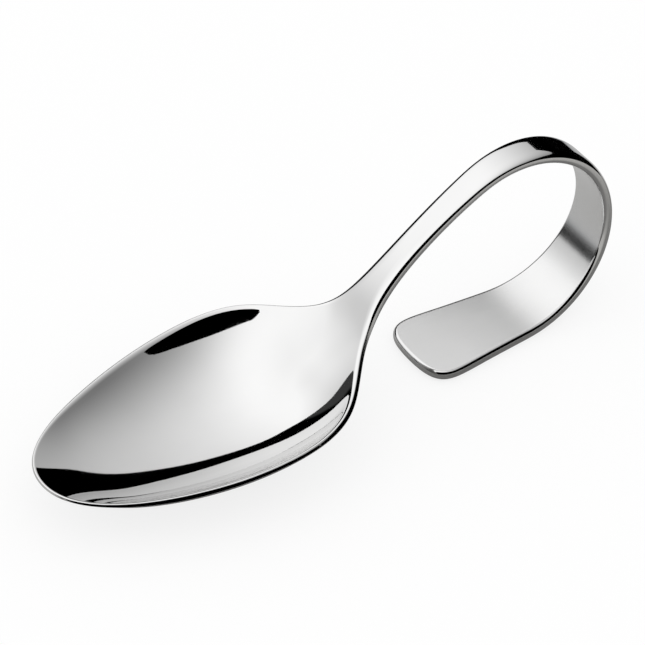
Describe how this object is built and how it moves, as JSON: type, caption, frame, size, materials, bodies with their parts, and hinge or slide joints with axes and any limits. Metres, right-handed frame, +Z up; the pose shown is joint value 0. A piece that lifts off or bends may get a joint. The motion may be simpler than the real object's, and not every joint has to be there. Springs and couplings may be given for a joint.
{
  "type": "amuse-bouche spoon",
  "caption": "Stainless steel serving spoon with a deep oval bowl and a handle curled back into a finger loop, whose flat end is a foot that keeps the spoon level on a table.",
  "frame": {"origin": "on the table, below the middle of the overall box", "axes": "+X from the tip of the bowl towards the loop, +Y across the bowl, +Z up"},
  "size_m": [0.1208, 0.0428, 0.0403],
  "materials": {
    "stainless_steel": "mirror polish on the bowl and outer face, satin on the inner face of the loop"
  },
  "bodies": {
    "root": {"spoon": "stainless_steel"}
  },
  "joints": []
}
